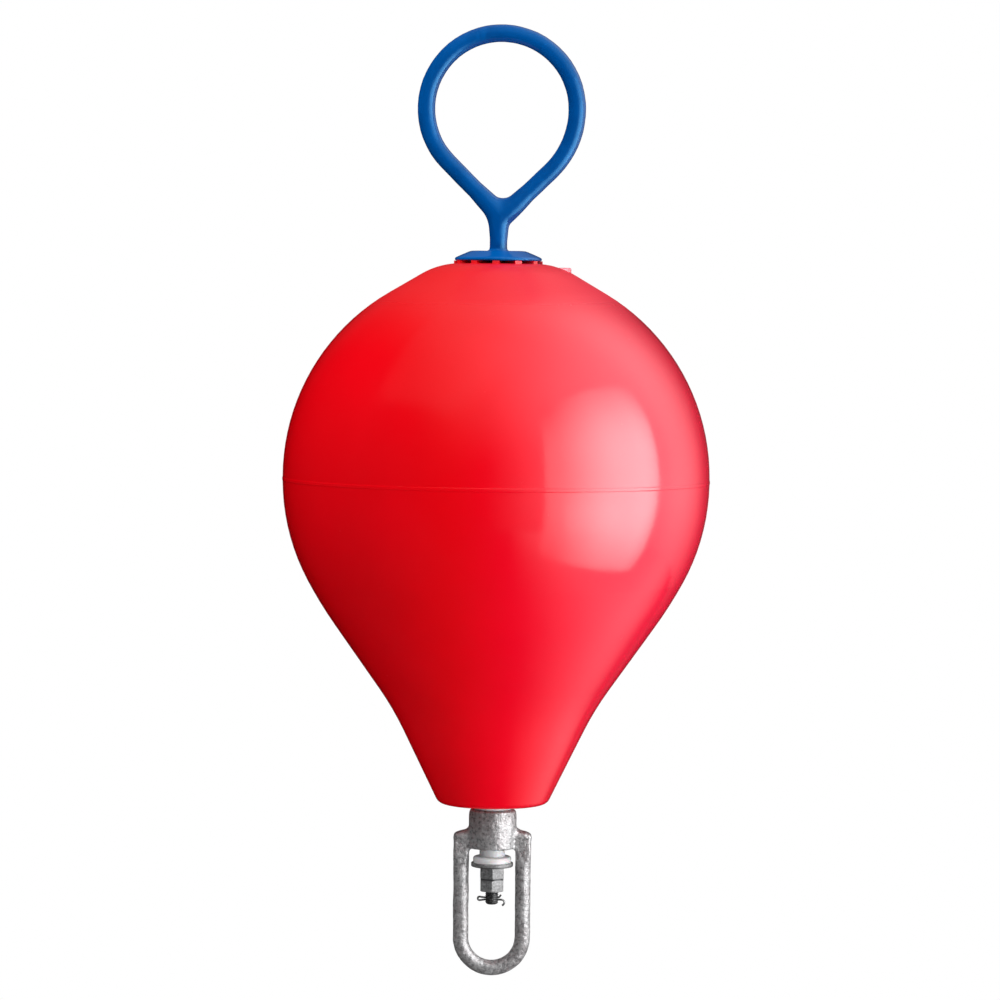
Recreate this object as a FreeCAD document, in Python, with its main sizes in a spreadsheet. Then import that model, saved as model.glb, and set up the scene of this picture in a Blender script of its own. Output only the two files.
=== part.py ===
import FreeCAD, Part
import math
import os

import Sketcher
from FreeCAD import Vector

# Inflatable mooring buoy on a through rod, with a swivel eye underneath.
# Millimetres, +Z up along the rod; the origin is on the rod's axis near the widest
# part, just under the moulded parting line, at the level where the float sits in the water.

sizes = {
    # float: two moulded half shells of one sphere radius, a cone below, a crown above
    "float_radius": 222.3,
    "upper_rise": 8.6,         # sphere centre of the upper half above the origin
    "lower_rise": 5.6,         # sphere centre of the lower half above the origin
    "wall": 4.0,               # thickness of the skin
    "crown_slope": 30.5,       # degrees, cone between the sphere and the hub
    "crown_blend": 82.0,       # radius from that cone into the flat of the hub
    "shoulder_depth": 99.5,    # where the sphere hands over to the shoulder
    "shoulder_radius": 446.0,
    "cone_slope": 35.2,        # degrees from the axis
    "waist_depth": 213.0,      # where the hollow curve of the waist starts
    "waist_radius": 310.0,
    "taper_slope": 26.0,       # degrees from the axis, the cone under the waist
    "float_depth": 333.0,      # origin to the flat base
    "base_corner": 9.5,
    "bead_rise": 5.5,          # middle of the bead on the parting line above the origin
    "bead_half": 1.2,          # half height of its flat
    "bead_ramp": 0.9,
    "bead_proud": 0.35,
    # moulded tube and the thick ends that carry it
    "tube_wall": 8.0,
    "hub_wall": 26.0,
    "base_wall": 24.0,
    # lugs that the top flange rests on
    "lug_count": 12,
    "lug_inner": 12.0,         # the lugs run in under the flange, to the rod
    "lug_outer": 46.0,
    "lug_width": 7.4,
    "lug_height": 2.6,
    "lug_turn": -93.0,         # degrees, one lug stands next to the front
    "lug_root": 2.0,           # depth of a lug inside the hub
    # inflation valve
    "valve_radius": 11.0,
    "valve_offset": 65.0,
    "valve_drop": 3.8,         # plug's top below the top of the hub
    "valve_height": 12.0,
    "valve_edge": 2.0,
    # rod and its coated eye
    "rod_radius": 8.0,
    "coat": 1.2,
    "stem_height": 34.3,       # flange seat to the start of the bend
    "bend_radius": 35.0,
    "leg_angle": 45.0,         # degrees from the axis, the bent leg
    "eye_radius": 78.3,        # centre line of the eye
    "eye_shift": 2.0,
    "close_radius": 89.5,      # wider arc that brings the bar back to the stem
    "close_angle": 45.7,       # degrees from the axis, the welded leg
    "weld_left": 3.0,          # fillet of weld in the crotch, from the stem's axis
    "weld_right": 12.0,
    "weld_height": 23.0,
    "weld_depth": 9.0,
    "tip_radius": 7.0,
    "tip_length": 14.0,
    "tip_chamfer": 1.8,
    # flange on top of the float
    "flange_radius": 45.5,
    "flange_flat": 28.5,
    "flange_height": 10.4,
    "flange_plate": 5.4,
    "flange_rim": 3.0,
    "flange_foot": 38.0,       # inner edge of the face that rests on the lugs
    "flange_edge": 1.8,        # rounding of the rim
    "flange_crown": 8.3,       # rounding where the flat turns into the skirt
    # bushings, washer and nuts
    "bushing_flange": 20.0,
    "bushing_radius": 13.3,
    "bushing_thick": 6.4,
    "bushing_edge": 2.6,
    "washer_thick": 4.5,
    "washer_edge": 1.2,
    "nut_width": 24.0,         # across flats
    "nut_height": 13.0,
    "nut_set": 32.5,           # degrees, a corner of the upper nut stands near the front
    "nut_turn": -2.0,          # degrees from the upper nut to the lower one
    "nut_lead": 30.0,          # degrees, slope of the turned corners
    # split pin
    "pin_drop": 8.0,           # under the lower nut
    "pin_wire": 1.8,
    "pin_eye": 3.2,            # centre line of the pin's eye
    "pin_bend": 2.0,
    "pin_left": 9.0,           # axis to the start of the eye
    "pin_short": 9.5,
    "pin_long": 12.0,
    "pin_leg": 4.5,            # length of the leg that is bent down
    "pin_gap": 0.1,            # between the two legs
    # swivel eye
    "sleeve_wall": 10.22,      # round the bore
    "sleeve_length": 40.4,
    "sleeve_edge": 1.6,
    "sleeve_drop": 0.8,        # sleeve's foot below the head of the window
    "shoulder_top": 13.9,      # sleeve's top to the start of the shoulder
    "shoulder_curve": 9.5,     # hollow curve from the sleeve out to the ear
    "ear_slope": 12.0,         # degrees, fall of the ear's top
    "ear_round": 4.0,
    "web_round": 3.2,          # forged edges of the shoulders
    "web_fillet": 3.6,         # between the shoulders and the sleeve
    "root_length": 14.0,       # from the square root to the round arm
    "root_flat": 0.1,
    "arm_radius": 8.1,
    "arm_step": 0.7,           # inner side of an arm outside the sleeve
    "arm_length": 94.0,        # sleeve's base to the centre of the bow
    "window_corner": 6.0,
    # clearances
    "rod_gap": 0.05,
    "swivel_gap": 0.08,        # running fit on the bushings
    "seat_gap": 0.2,           # sleeve's top under the upper bushing's flange
    "plug_gap": 0.15,
    "swivel_play": 8.8,        # travel of the sleeve between the two bushings
    "washer_gap": 2.3,         # washer to the arms
    "pin_room": 0.25,          # both wires of the pin in their hole
}

doc = FreeCAD.newDocument("MooringBuoy")
sheet = doc.addObject("Spreadsheet::Sheet", "Sizes")
for row, (name, number) in enumerate(sizes.items(), 1):
    sheet.set("A%d" % row, name)
    sheet.set("B%d" % row, str(number))
    sheet.setAlias("B%d" % row, name)
doc.recompute()

S = sizes

# levels used by several pieces, as expressions on the sheet
HUB_TOP = "(Sizes.upper_rise + Sizes.float_radius)"
SEAT = "(%s + Sizes.lug_height)" % HUB_TOP
BUSHING = "((Sizes.sleeve_length + Sizes.swivel_play) / 2 + Sizes.bushing_thick)"
STACK = "(Sizes.float_depth + 2 * %s)" % BUSHING
NUT_BASE = "(%s + Sizes.washer_thick + 2 * Sizes.nut_height)" % STACK
SLEEVE = "(Sizes.bushing_radius + Sizes.swivel_gap + Sizes.sleeve_wall)"
ARM = "(%s + Sizes.arm_step + Sizes.arm_radius)" % SLEEVE
WASHER = "(%s + Sizes.arm_step - Sizes.washer_gap)" % SLEEVE
PIN_HOLE = "(Sizes.pin_wire + Sizes.pin_gap / 2 + Sizes.pin_room)"

hub_top = S["upper_rise"] + S["float_radius"]
seat = hub_top + S["lug_height"]
bushing_length = (S["sleeve_length"] + S["swivel_play"]) / 2 + S["bushing_thick"]
stack = S["float_depth"] + 2 * bushing_length
nut_base = stack + S["washer_thick"] + 2 * S["nut_height"]
sleeve_radius = S["bushing_radius"] + S["swivel_gap"] + S["sleeve_wall"]
arm_offset = sleeve_radius + S["arm_step"] + S["arm_radius"]
washer_radius = sleeve_radius + S["arm_step"] - S["washer_gap"]
pin_hole = S["pin_wire"] + S["pin_gap"] / 2 + S["pin_room"]


def sine(angle):
    return math.sin(math.radians(angle))


def cosine(angle):
    return math.cos(math.radians(angle))


def origin_plane(body, role):
    for feature in body.Origin.OriginFeatures:
        if feature.Role == role:
            return feature
    raise ValueError(role)


def new_body(label):
    body = doc.addObject("PartDesign::Body", label)
    body.Label = label
    return body


class Outline:
    """A sketch of lines and arcs joined end to end, each size bound to the sheet."""

    def __init__(self, body, name, role, lift=None):
        self.sketch = body.newObject("Sketcher::SketchObject", name)
        self.sketch.AttachmentSupport = (origin_plane(body, role), [""])
        self.sketch.MapMode = "FlatFace"
        if lift:
            self.sketch.setExpression("AttachmentOffset.Base.z", lift)
        self.last = None

    def rule(self, kind, *args, size=None):
        index = self.sketch.addConstraint(Sketcher.Constraint(kind, *args))
        if size:
            self.sketch.setExpression("Constraints[%d]" % index, size)
        return index

    def link(self, edge, start, end, tangent):
        """Joins the new edge to the one before it."""
        if self.last:
            kind = "Tangent" if tangent else "Coincident"
            self.rule(kind, self.last[0], self.last[1], edge, start)
        self.last = (edge, end)
        return edge

    def line(self, a, b, tangent=False):
        edge = self.sketch.addGeometry(
            Part.LineSegment(Vector(a[0], a[1], 0), Vector(b[0], b[1], 0)))
        return self.link(edge, 1, 2, tangent)

    def arc(self, centre, radius, from_deg, to_deg, tangent=False):
        """An arc from one angle to the other; it runs clockwise if to_deg is less."""
        low, high = min(from_deg, to_deg), max(from_deg, to_deg)
        circle = Part.Circle(Vector(centre[0], centre[1], 0), Vector(0, 0, 1), radius)
        edge = self.sketch.addGeometry(
            Part.ArcOfCircle(circle, math.radians(low), math.radians(high)))
        ends = (1, 2) if to_deg > from_deg else (2, 1)
        return self.link(edge, ends[0], ends[1], tangent)

    def close(self, first, start, tangent=False):
        self.rule("Tangent" if tangent else "Coincident", self.last[0], self.last[1], first, start)
        self.last = None

    def place(self, edge, point, across=None, up=None, down=None):
        """Sets how far a point lies from the sketch's origin, as expressions."""
        spot = self.sketch.getPoint(edge, point)
        if across:
            self.rule("DistanceX", -1, 1, edge, point, spot.x, size=across)
        if up:
            self.rule("DistanceY", -1, 1, edge, point, spot.y, size=up)
        if down:
            self.rule("DistanceY", edge, point, -1, 1, -spot.y, size=down)


def revolve(body, name, sketch, cut=False):
    kind = "PartDesign::Groove" if cut else "PartDesign::Revolution"
    feature = body.newObject(kind, name)
    feature.Profile = sketch
    feature.ReferenceAxis = (origin_plane(body, "Z_Axis"), [""])
    feature.Angle = 360
    return feature


def sweep(body, name, section, path, count):
    """Sweeps a section along the first edges of a path sketch."""
    feature = body.newObject("PartDesign::AdditivePipe", name)
    feature.Profile = section.sketch
    feature.Spine = (path.sketch, ["Edge%d" % (i + 1) for i in range(count)])
    return feature


# ---------------------------------------------------------------- float
def float_levels():
    """Points where the float's arcs and cones meet, for the sketches' first guess."""
    radius = S["float_radius"]
    slope, cone, taper = S["crown_slope"], S["cone_slope"], S["taper_slope"]
    turn = math.degrees(math.asin((S["shoulder_depth"] + S["lower_rise"]) / radius))
    p = {"turn": turn}
    p["sphere_top"] = (radius * sine(slope), S["upper_rise"] + radius * cosine(slope))
    blend_z = hub_top - S["crown_blend"] * (1 - cosine(slope))
    fall = (blend_z - p["sphere_top"][1]) / math.tan(math.radians(slope))
    p["blend_end"] = (p["sphere_top"][0] - fall, blend_z)
    p["flat_end"] = (p["blend_end"][0] - S["crown_blend"] * sine(slope), hub_top)
    p["blend_centre"] = (p["flat_end"][0], hub_top - S["crown_blend"])
    grow = S["shoulder_radius"] - radius
    p["shoulder_centre"] = (-grow * cosine(turn), S["lower_rise"] + grow * sine(turn))
    p["cone_start"] = (p["shoulder_centre"][0] + S["shoulder_radius"] * cosine(cone),
                       p["shoulder_centre"][1] - S["shoulder_radius"] * sine(cone))
    drop = S["waist_depth"] + p["cone_start"][1]
    p["cone_end"] = (p["cone_start"][0] - drop * math.tan(math.radians(cone)), -S["waist_depth"])
    p["waist_centre"] = (p["cone_end"][0] + S["waist_radius"] * cosine(cone),
                         p["cone_end"][1] - S["waist_radius"] * sine(cone))
    p["taper_start"] = (p["waist_centre"][0] - S["waist_radius"] * cosine(taper),
                        p["waist_centre"][1] + S["waist_radius"] * sine(taper))
    return p


def taper_at(p, depth, inset=0.0):
    """Point on the lower cone, or inside it by the inset, at a depth."""
    taper = S["taper_slope"]
    start = (p["taper_start"][0] - inset * cosine(taper), p["taper_start"][1] + inset * sine(taper))
    return (start[0] - (start[1] + depth) * math.tan(math.radians(taper)), -depth)


def float_outline(body, p):
    """Outer section: hub, crown, two sphere halves with the parting bead, cones, base."""
    o = Outline(body, "FloatSection", "XZ_Plane")
    radius, bore = S["float_radius"], S["rod_radius"] + S["rod_gap"]
    bead_top, bead_foot = S["bead_rise"] + S["bead_half"], S["bead_rise"] - S["bead_half"]
    ramp_top, ramp_foot = bead_top + S["bead_ramp"], bead_foot - S["bead_ramp"]
    proud = radius + S["bead_proud"]
    slope, cone, taper = S["crown_slope"], S["cone_slope"], S["taper_slope"]
    rise_up = math.degrees(math.asin((ramp_top - S["upper_rise"]) / radius))
    rise_low = math.degrees(math.asin((ramp_foot - S["lower_rise"]) / radius))
    lower_start = (radius * cosine(rise_low), ramp_foot)
    corner = S["base_corner"]
    corner_in = taper_at(p, S["float_depth"] - corner, corner)
    corner_start = (corner_in[0] + corner * cosine(taper), corner_in[1] - corner * sine(taper))

    top = o.line((bore, hub_top), p["flat_end"])
    blend = o.arc(p["blend_centre"], S["crown_blend"], 90, 90 - slope, True)
    crown = o.line(p["blend_end"], p["sphere_top"], True)
    upper = o.arc((0, S["upper_rise"]), radius, 90 - slope, rise_up, True)
    ramp_in = o.line((radius * cosine(rise_up), ramp_top), (proud, bead_top))
    bead = o.line((proud, bead_top), (proud, bead_foot))
    ramp_out = o.line((proud, bead_foot), lower_start)
    lower = o.arc((0, S["lower_rise"]), radius, rise_low, -p["turn"])
    shoulder = o.arc(p["shoulder_centre"], S["shoulder_radius"], -p["turn"], -cone, True)
    flank = o.line(p["cone_start"], p["cone_end"], True)
    waist = o.arc(p["waist_centre"], S["waist_radius"], 180 - cone, 180 - taper, True)
    lower_cone = o.line(p["taper_start"], corner_start, True)
    edge = o.arc(corner_in, corner, -taper, -90, True)
    base = o.line((corner_in[0], -S["float_depth"]), (bore, -S["float_depth"]), True)
    tube = o.line((bore, -S["float_depth"]), (bore, hub_top))
    o.close(top, 1)

    o.rule("Horizontal", top)
    o.place(top, 1, across="Sizes.rod_radius + Sizes.rod_gap", up=HUB_TOP)
    o.rule("Radius", blend, S["crown_blend"], size="Sizes.crown_blend")
    o.rule("Angle", crown, math.radians(-slope), size="-Sizes.crown_slope")
    for arc, rise in ((upper, "Sizes.upper_rise"), (lower, "Sizes.lower_rise")):
        o.rule("PointOnObject", arc, 3, -2)
        o.place(arc, 3, up=rise)
        o.rule("Radius", arc, radius, size="Sizes.float_radius")
    o.place(ramp_in, 1, up="Sizes.bead_rise + Sizes.bead_half + Sizes.bead_ramp")
    o.place(ramp_in, 2, across="Sizes.float_radius + Sizes.bead_proud",
            up="Sizes.bead_rise + Sizes.bead_half")
    o.rule("Vertical", bead)
    o.place(bead, 2, up="Sizes.bead_rise - Sizes.bead_half")
    o.place(ramp_out, 2, up="Sizes.bead_rise - Sizes.bead_half - Sizes.bead_ramp")
    o.place(shoulder, 2, down="Sizes.shoulder_depth")
    o.rule("Radius", shoulder, S["shoulder_radius"], size="Sizes.shoulder_radius")
    o.rule("Angle", flank, math.radians(-90 - cone), size="-90 - Sizes.cone_slope")
    o.place(flank, 2, down="Sizes.waist_depth")
    o.rule("Radius", waist, S["waist_radius"], size="Sizes.waist_radius")
    o.rule("Angle", lower_cone, math.radians(-90 - taper), size="-90 - Sizes.taper_slope")
    o.rule("Radius", edge, corner, size="Sizes.base_corner")
    o.rule("Horizontal", base)
    o.place(base, 2, down="Sizes.float_depth")
    o.rule("Vertical", tube)
    return o.sketch


def cavity_outline(body, p):
    """The air space: inside the skin by the wall, around the moulded tube."""
    o = Outline(body, "CavitySection", "XZ_Plane")
    wall = S["wall"]
    radius = S["float_radius"] - wall
    tube = S["rod_radius"] + S["rod_gap"] + S["tube_wall"]
    top, foot = hub_top - S["hub_wall"], S["float_depth"] - S["base_wall"]
    cone, taper = S["cone_slope"], S["taper_slope"]
    middle = (S["upper_rise"] + S["lower_rise"]) / 2
    rise = math.degrees(math.asin((top - S["upper_rise"]) / radius))
    join_up = math.degrees(math.asin((middle - S["upper_rise"]) / radius))
    join_low = -join_up
    shift = (-wall * cosine(cone), wall * sine(cone))
    cone_start = (p["cone_start"][0] + shift[0], p["cone_start"][1] + shift[1])
    cone_end = (p["cone_end"][0] + shift[0], p["cone_end"][1] + shift[1])
    taper_start = (p["taper_start"][0] - wall * cosine(taper), p["taper_start"][1] + wall * sine(taper))

    roof = o.line((tube, top), (radius * cosine(rise), top))
    upper = o.arc((0, S["upper_rise"]), radius, rise, join_up)
    lower = o.arc((0, S["lower_rise"]), radius, join_low, -p["turn"])
    shoulder = o.arc(p["shoulder_centre"], S["shoulder_radius"] - wall, -p["turn"], -cone, True)
    flank = o.line(cone_start, cone_end, True)
    waist = o.arc(p["waist_centre"], S["waist_radius"] + wall, 180 - cone, 180 - taper, True)
    lower_cone = o.line(taper_start, taper_at(p, foot, wall), True)
    floor = o.line(taper_at(p, foot, wall), (tube, -foot))
    inner = o.line((tube, -foot), (tube, top))
    o.close(roof, 1)

    o.rule("Horizontal", roof)
    o.place(roof, 1, across="Sizes.rod_radius + Sizes.rod_gap + Sizes.tube_wall",
            up=HUB_TOP + " - Sizes.hub_wall")
    for arc, lift in ((upper, "Sizes.upper_rise"), (lower, "Sizes.lower_rise")):
        o.rule("PointOnObject", arc, 3, -2)
        o.place(arc, 3, up=lift)
        o.rule("Radius", arc, radius, size="Sizes.float_radius - Sizes.wall")
    o.place(shoulder, 2, down="(Sizes.shoulder_depth + Sizes.lower_rise)"
            " * (Sizes.float_radius - Sizes.wall) / Sizes.float_radius - Sizes.lower_rise")
    o.rule("Radius", shoulder, S["shoulder_radius"] - wall, size="Sizes.shoulder_radius - Sizes.wall")
    o.rule("Angle", flank, math.radians(-90 - cone), size="-90 - Sizes.cone_slope")
    o.place(flank, 2, down="Sizes.waist_depth - Sizes.wall * sin(Sizes.cone_slope)")
    o.rule("Radius", waist, S["waist_radius"] + wall, size="Sizes.waist_radius + Sizes.wall")
    o.rule("Angle", lower_cone, math.radians(-90 - taper), size="-90 - Sizes.taper_slope")
    o.rule("Horizontal", floor)
    o.place(floor, 2, down="Sizes.float_depth - Sizes.base_wall")
    o.rule("Vertical", inner)
    return o.sketch


def make_float():
    body = new_body("float")
    p = float_levels()
    revolve(body, "Hull", float_outline(body, p))
    revolve(body, "Cavity", cavity_outline(body, p), cut=True)

    lug = Outline(body, "LugPlan", "XY_Plane", HUB_TOP + " - Sizes.lug_root")
    lug.sketch.setExpression("AttachmentOffset.Rotation.Angle", "Sizes.lug_turn")
    half = S["lug_width"] / 2
    inner, outer = S["lug_inner"], S["lug_outer"]
    corners = [(inner, -half), (outer, -half), (outer, half), (inner, half)]
    sides = [lug.line(corners[i], corners[(i + 1) % 4]) for i in range(4)]
    lug.close(sides[0], 1)
    for i, kind in enumerate(("Horizontal", "Vertical", "Horizontal", "Vertical")):
        lug.rule(kind, sides[i])
    lug.place(sides[0], 1, across="Sizes.lug_inner", down="Sizes.lug_width / 2")
    lug.place(sides[1], 2, across="Sizes.lug_outer", up="Sizes.lug_width / 2")
    pad = body.newObject("PartDesign::Pad", "Lug")
    pad.Profile = lug.sketch
    pad.setExpression("Length", "Sizes.lug_root + Sizes.lug_height")
    ring = body.newObject("PartDesign::PolarPattern", "LugRing")
    ring.Originals = [pad]
    ring.Axis = (origin_plane(body, "Z_Axis"), [""])
    ring.Angle = 360
    ring.setExpression("Occurrences", "Sizes.lug_count")
    body.Tip = ring

    seat_sketch = Outline(body, "ValveSeat", "XY_Plane",
                          HUB_TOP + " - Sizes.valve_drop - Sizes.valve_height")
    circle(seat_sketch, S["valve_offset"], 0, S["valve_radius"] + S["plug_gap"],
           across="Sizes.valve_offset", size="Sizes.valve_radius + Sizes.plug_gap")
    pocket = body.newObject("PartDesign::Pocket", "ValvePocket")
    pocket.Profile = seat_sketch.sketch
    pocket.Reversed = True
    pocket.setExpression("Length", "2 * Sizes.valve_height + Sizes.crown_blend")
    return body


def circle(outline, x, y, radius, size, across=None, up=None, down=None):
    """A full circle centred on the sketch's axes, or at a distance from them."""
    edge = outline.sketch.addGeometry(
        Part.Circle(Vector(x, y, 0), Vector(0, 0, 1), radius))
    if across:
        outline.place(edge, 3, across=across)
    else:
        outline.rule("PointOnObject", edge, 3, -2)
    if up or down:
        outline.place(edge, 3, up=up, down=down)
    else:
        outline.rule("PointOnObject", edge, 3, -1)
    outline.rule("Radius", edge, radius, size=size)
    return edge


# ---------------------------------------------------------------- small turned pieces
def polygon(body, name, points, role="XZ_Plane"):
    """A closed sketch of straight sides; each point is x, y and their expressions."""
    o = Outline(body, name, role)
    edges = []
    for i, point in enumerate(points):
        after = points[(i + 1) % len(points)]
        edges.append(o.line(point[:2], after[:2]))
    o.close(edges[0], 1)
    for edge, (x, y, across, height) in zip(edges, points):
        if across is None:
            o.rule("PointOnObject", edge, 1, -2)
        else:
            o.place(edge, 1, across=across)
        if height is None:
            o.rule("PointOnObject", edge, 1, -1)
        elif y < 0:
            o.place(edge, 1, down=height.lstrip("-"))
        else:
            o.place(edge, 1, up=height)
    return o.sketch


def round_edges(body, name, picked, size, kind="PartDesign::Fillet"):
    """Fillets or chamfers the edges of the body's tip that picked() accepts."""
    doc.recompute()
    base = body.Tip
    names = ["Edge%d" % (i + 1) for i, edge in enumerate(base.Shape.Edges) if picked(edge)]
    feature = body.newObject(kind, name)
    feature.Base = (base, names)
    feature.setExpression("Radius" if kind.endswith("Fillet") else "Size", size)
    return feature


def ring_at(radius, height, slack=0.01):
    """Accepts a full circle about the body's Z axis with this radius and height."""
    def picked(edge):
        curve = edge.Curve
        return (isinstance(curve, Part.Circle) and edge.isClosed()
                and abs(curve.Radius - radius) < slack and abs(curve.Center.z - height) < slack)
    return picked


def lift(body, expression):
    body.setExpression("Placement.Base.z", expression)


def face_outline(half, foot, slack=0.01):
    """Accepts the edges of a plate's front and back faces, but not those at its foot."""
    def picked(edge):
        box = edge.BoundBox
        flat = abs(abs(box.YMin) - half) < slack and box.YLength < slack
        return flat and box.ZMax > foot + slack
    return picked


def on_sleeve(radius, length, slack=0.01):
    """Accepts the edges where something leaves the side of the sleeve."""
    def picked(edge):
        middle = edge.valueAt((edge.FirstParameter + edge.LastParameter) / 2)
        beside = abs(math.hypot(middle.x, middle.y) - radius) < slack
        return beside and -length + slack < middle.z < -slack and not isinstance(edge.Curve, Part.Circle)
    return picked


def make_valve_plug():
    body = new_body("valve_plug")
    plan = Outline(body, "PlugPlan", "XY_Plane")
    circle(plan, 0, 0, S["valve_radius"], "Sizes.valve_radius")
    pad = body.newObject("PartDesign::Pad", "Plug")
    pad.Profile = plan.sketch
    pad.setExpression("Length", "Sizes.valve_height")
    round_edges(body, "PlugEdge", ring_at(S["valve_radius"], S["valve_height"]), "Sizes.valve_edge")
    body.setExpression("Placement.Base.x", "Sizes.valve_offset")
    lift(body, HUB_TOP + " - Sizes.valve_drop - Sizes.valve_height")
    return body


def make_flange():
    """Pressed plate: flat crown, sloping skirt, and a rim that rests on the lugs."""
    body = new_body("flange")
    bore = "Sizes.rod_radius + Sizes.coat + Sizes.rod_gap"
    r0 = S["rod_radius"] + S["coat"] + S["rod_gap"]
    top, under = S["flange_height"], S["flange_height"] - S["flange_plate"]
    rim, flat = S["flange_rim"], S["flange_flat"]
    edge = S["flange_radius"]
    foot = S["flange_foot"]
    section = polygon(body, "FlangeSection", [
        (r0, under, bore, "Sizes.flange_height - Sizes.flange_plate"),
        (flat, under, "Sizes.flange_flat", "Sizes.flange_height - Sizes.flange_plate"),
        (foot, 0, "Sizes.flange_foot", None),
        (edge, 0, "Sizes.flange_radius", None),
        (edge, rim, "Sizes.flange_radius", "Sizes.flange_rim"),
        (flat, top, "Sizes.flange_flat", "Sizes.flange_height"),
        (r0, top, bore, "Sizes.flange_height"),
    ])
    revolve(body, "Plate", section)
    round_edges(body, "RimRound", ring_at(edge, rim), "Sizes.flange_edge")
    round_edges(body, "CrownRound", ring_at(flat, top), "Sizes.flange_crown")
    lift(body, SEAT)
    return body


def make_bushing(label):
    """Flanged bushing: tube up from the flange, with a rounded edge beside the tube."""
    body = new_body(label)
    bore = "Sizes.rod_radius + Sizes.rod_gap"
    r0 = S["rod_radius"] + S["rod_gap"]
    section = polygon(body, "BushingSection", [
        (r0, 0, bore, None),
        (S["bushing_flange"], 0, "Sizes.bushing_flange", None),
        (S["bushing_flange"], S["bushing_thick"], "Sizes.bushing_flange", "Sizes.bushing_thick"),
        (S["bushing_radius"], S["bushing_thick"], "Sizes.bushing_radius", "Sizes.bushing_thick"),
        (S["bushing_radius"], bushing_length, "Sizes.bushing_radius", BUSHING),
        (r0, bushing_length, bore, BUSHING),
    ])
    revolve(body, "Turned", section)
    rim = ring_at(S["bushing_flange"], S["bushing_thick"])
    round_edges(body, "FlangeEdge", rim, "Sizes.bushing_edge")
    return body


def make_bushings():
    upper, lower = make_bushing("upper_bushing"), make_bushing("lower_bushing")
    upper.Placement.Rotation = FreeCAD.Rotation(Vector(1, 0, 0), 180)
    lift(upper, "-Sizes.float_depth")
    lift(lower, "-" + STACK)
    return upper, lower


def make_washer():
    body = new_body("washer")
    bore = "Sizes.rod_radius + Sizes.rod_gap"
    r0 = S["rod_radius"] + S["rod_gap"]
    section = polygon(body, "WasherSection", [
        (r0, 0, bore, None),
        (washer_radius, 0, WASHER, None),
        (washer_radius, S["washer_thick"], WASHER, "Sizes.washer_thick"),
        (r0, S["washer_thick"], bore, "Sizes.washer_thick"),
    ])
    revolve(body, "Disc", section)
    for name, height in (("LowerEdge", 0), ("UpperEdge", S["washer_thick"])):
        round_edges(body, name, ring_at(washer_radius, height), "Sizes.washer_edge")
    lift(body, "-%s - Sizes.washer_thick" % STACK)
    return body


def make_nut(label, height, turn):
    """Hexagon nut: a hexagon pad, its corners turned off at both ends, bored."""
    body = new_body(label)
    plan = Outline(body, "Hexagon", "XY_Plane")
    flat = S["nut_width"] / 2
    corner = flat / cosine(30)
    points = [(corner * cosine(60 * i), corner * sine(60 * i)) for i in range(6)]
    sides = [plan.line(points[i], points[(i + 1) % 6]) for i in range(6)]
    plan.close(sides[0], 1)
    centre = plan.sketch.addGeometry(Part.Circle(Vector(0, 0, 0), Vector(0, 0, 1), corner), True)
    plan.rule("Coincident", centre, 3, -1, 1)
    plan.rule("Radius", centre, corner, size="Sizes.nut_width / 2 / cos(30)")
    for side in sides:
        plan.rule("PointOnObject", side, 1, centre)
    for side in sides[1:]:
        plan.rule("Equal", sides[0], side)
    plan.rule("PointOnObject", sides[0], 1, -1)
    pad = body.newObject("PartDesign::Pad", "Blank")
    pad.Profile = plan.sketch
    pad.setExpression("Length", "Sizes.nut_height")

    hole = Outline(body, "Bore", "XY_Plane")
    circle(hole, 0, 0, S["rod_radius"] + S["rod_gap"], "Sizes.rod_radius + Sizes.rod_gap")
    pocket = body.newObject("PartDesign::Pocket", "Hole")
    pocket.Profile = hole.sketch
    pocket.Reversed = True
    pocket.setExpression("Length", "Sizes.nut_height")

    reach, rise = S["nut_width"], S["nut_height"]
    slope = (reach - flat) * math.tan(math.radians(S["nut_lead"]))
    climb = "Sizes.nut_width / 2 * tan(Sizes.nut_lead)"
    for name, base, peak, level, tip in (
            ("LowerTurn", 0, slope, None, climb),
            ("UpperTurn", rise, rise - slope, "Sizes.nut_height", "Sizes.nut_height - " + climb)):
        section = polygon(body, name + "Section", [
            (flat, base, "Sizes.nut_width / 2", level),
            (reach, base, "Sizes.nut_width", level),
            (reach, peak, "Sizes.nut_width", tip),
        ])
        revolve(body, name, section, cut=True)
    body.setExpression("Placement.Rotation.Angle", turn)
    lift(body, height)
    return body


# ---------------------------------------------------------------- rod with its eye
def eye_points():
    """Centre line of the bar above the flange seat, in the plane of the eye."""
    bend, ring, wide = S["bend_radius"], S["eye_radius"], S["close_radius"]
    leg, close = S["leg_angle"], S["close_angle"]
    p = {"bend_centre": (-bend, S["stem_height"])}
    p["leg_start"] = (-bend + bend * cosine(leg), S["stem_height"] + bend * sine(leg))
    run = (p["leg_start"][0] + ring * cosine(leg) - S["eye_shift"]) / sine(leg)
    p["leg_end"] = (p["leg_start"][0] - run * sine(leg), p["leg_start"][1] + run * cosine(leg))
    p["ring_centre"] = (S["eye_shift"], p["leg_end"][1] + ring * sine(leg))
    p["side"] = (S["eye_shift"] + ring, p["ring_centre"][1])
    p["wide_centre"] = (p["side"][0] - wide, p["ring_centre"][1])
    p["close_start"] = (p["wide_centre"][0] + wide * cosine(close),
                        p["wide_centre"][1] - wide * sine(close))
    p["weld"] = (0, p["close_start"][1] - p["close_start"][0] / math.tan(math.radians(close)))
    return p


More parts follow.
